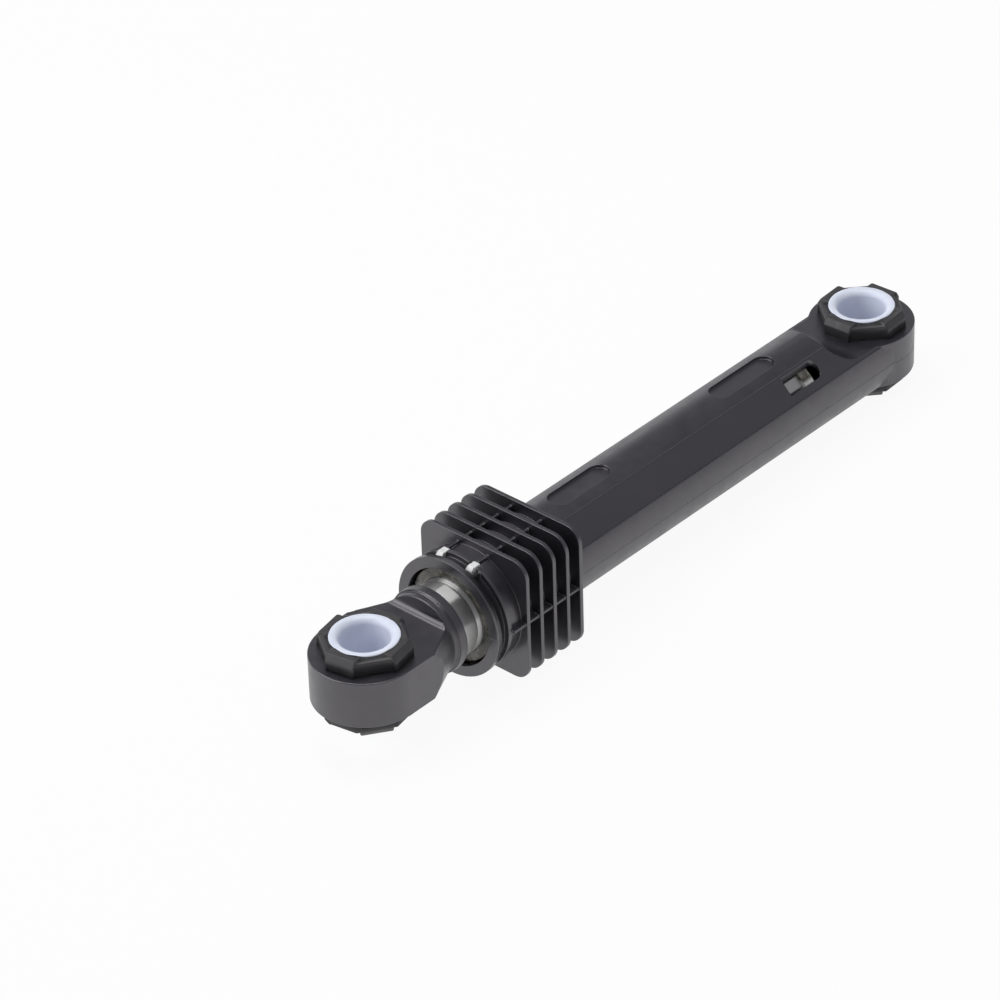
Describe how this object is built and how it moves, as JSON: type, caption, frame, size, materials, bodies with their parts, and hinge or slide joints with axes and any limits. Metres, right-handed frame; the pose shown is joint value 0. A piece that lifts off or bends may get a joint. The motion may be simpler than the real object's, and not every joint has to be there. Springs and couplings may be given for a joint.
{
  "type": "washing machine shock absorber",
  "caption": "Telescopic friction damper for a washer tub: a finned plastic housing and a steel tube rod, each ending in an eye with a rubber bush and a hard sleeve.",
  "frame": {"origin": "centre of the housing's eye bore", "axes": "+X along the damper towards the rod's eye, +Z along both eye bores, +Y completes the set"},
  "size_m": [0.2369, 0.0374, 0.0374],
  "materials": {
    "black_plastic": "satin black moulded plastic",
    "rubber": "black rubber",
    "white_plastic": "smooth bluish white plastic",
    "steel": "bright plated steel with a film of grease",
    "natural_nylon": "natural nylon, greasy",
    "foam": "greased foam"
  },
  "bodies": {
    "housing": {"cylinder_housing": "black_plastic", "friction_liner": "foam", "liner_retainer": "natural_nylon", "housing_eye_bush": "rubber", "housing_eye_sleeve": "white_plastic"},
    "guide": {"tube_end_guide": "natural_nylon"},
    "rod": {"piston_tube": "steel", "rod_eye": "black_plastic", "rod_eye_bush": "rubber", "rod_eye_sleeve": "white_plastic"}
  },
  "joints": [
    {"name": "rod_slide", "type": "slide", "parent": "housing", "child": "guide", "axis": [1, 0, 0], "range_m": [-0.006, 0.075]},
    {"name": "rod_twist", "type": "hinge", "parent": "guide", "child": "rod", "pos_m": [0.0377, 0, 0], "axis": [1, 0, 0], "continuous": true}
  ]
}
